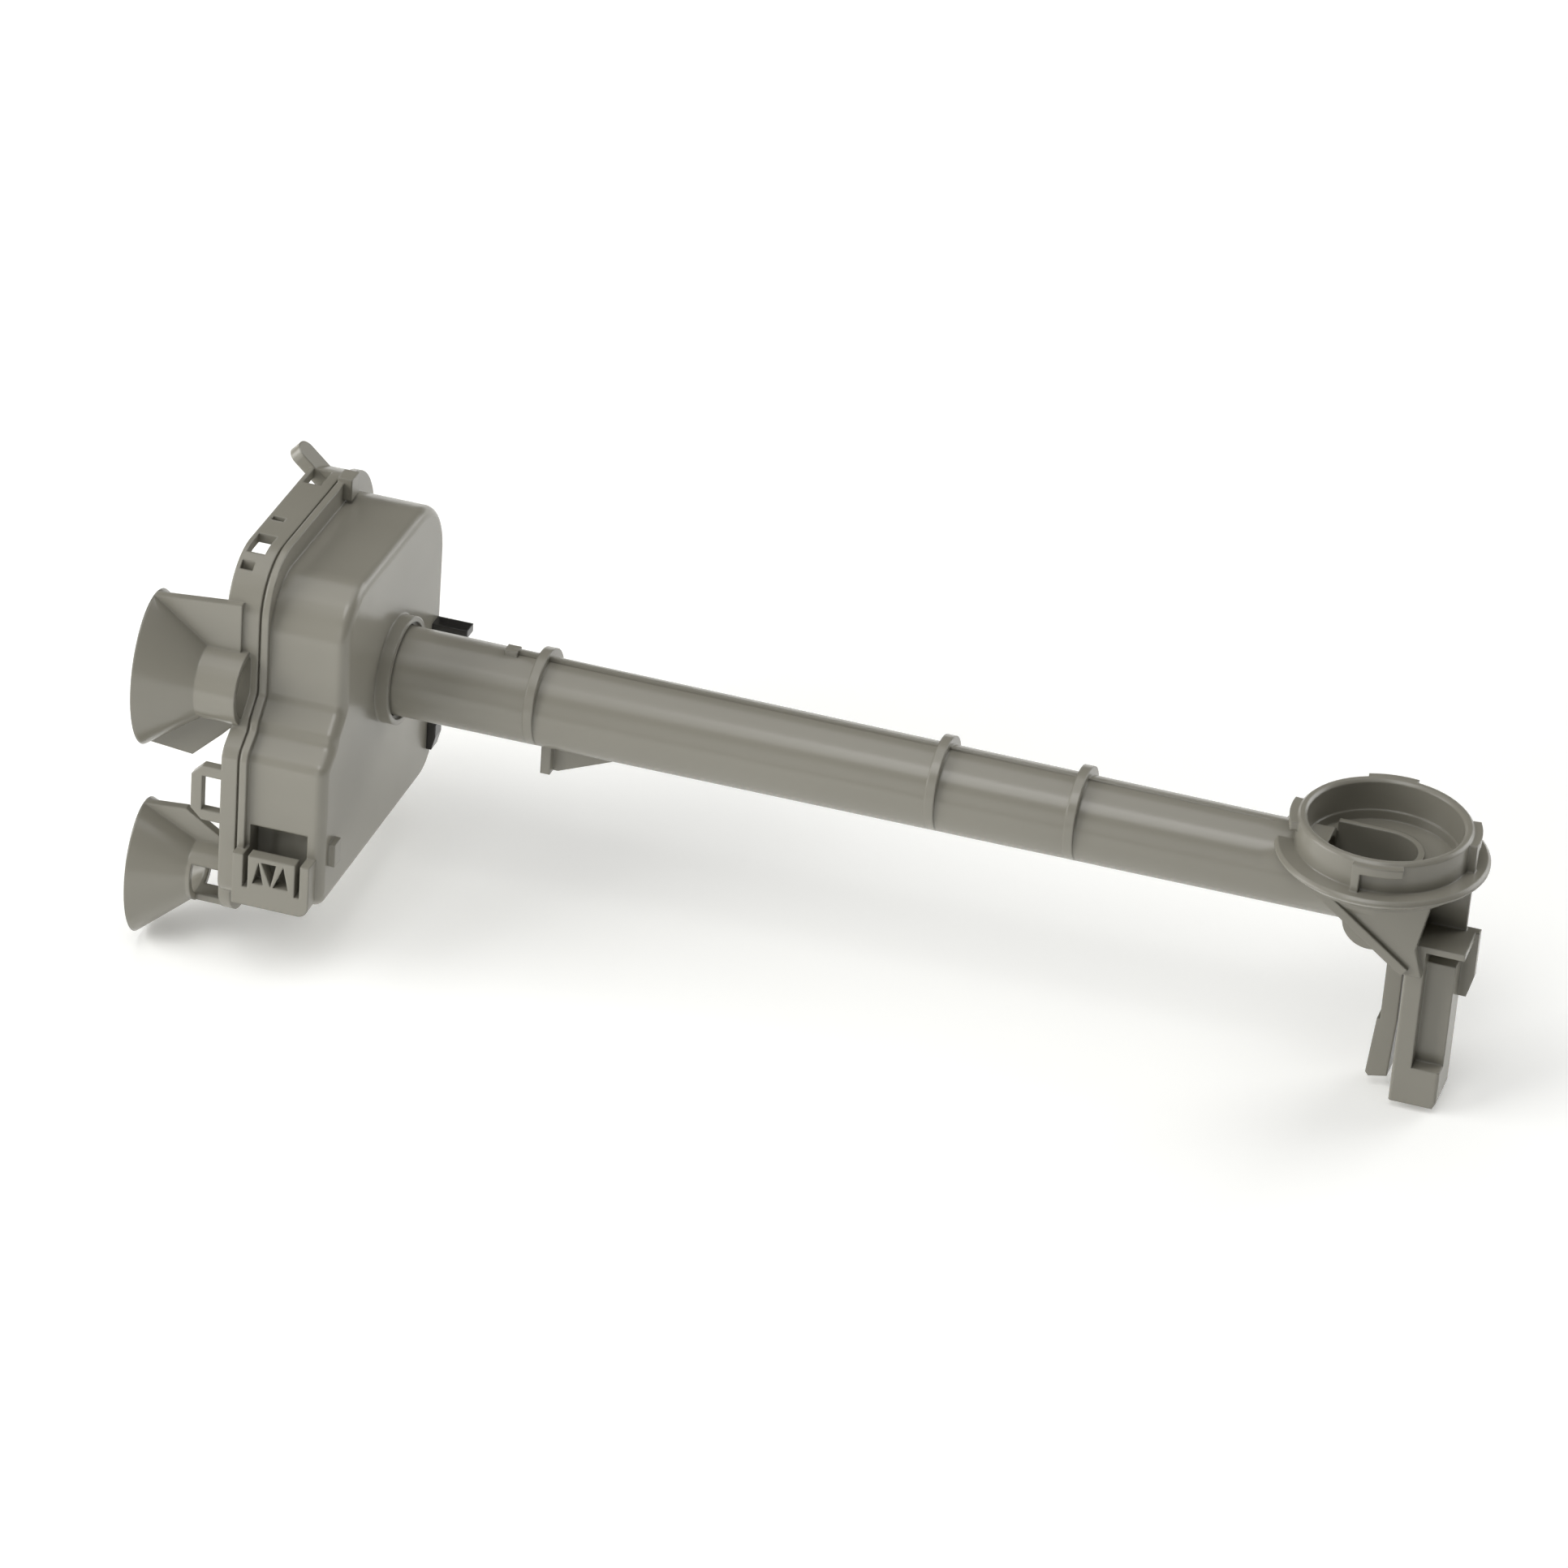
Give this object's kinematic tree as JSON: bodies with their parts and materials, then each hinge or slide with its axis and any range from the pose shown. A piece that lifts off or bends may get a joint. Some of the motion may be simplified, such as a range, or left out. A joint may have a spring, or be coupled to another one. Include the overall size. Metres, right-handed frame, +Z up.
{
  "type": "dishwasher spray arm feed tube",
  "caption": "Moulded feed tube for a dishwasher's upper spray arm, with a docking housing, flared funnels, a bayonet collar and a clip leg.",
  "frame": {"origin": "on the collar's axis, at the level of the flange on which the spray arm seats", "axes": "+X along the tube from the housing to the collar, +Z up out of the collar, +Y to the side away from the funnels"},
  "size_m": [0.2906, 0.078, 0.0994],
  "materials": {
    "moulded_polypropylene": "matte",
    "black_plastic": "matte",
    "flap_plastic": "matte"
  },
  "bodies": {
    "manifold": {"feed_tube": "moulded_polypropylene", "housing_shell": "moulded_polypropylene", "docking_cover": "moulded_polypropylene", "wire_clip": "black_plastic"},
    "flap": {"diverter_flap": "flap_plastic"}
  },
  "joints": [
    {"name": "flap_pivot", "type": "hinge", "parent": "manifold", "child": "flap", "pos_m": [-0.2402, -0.019, -0.0256], "axis": [0, 1, 0], "range_deg": [-5, 9]}
  ]
}
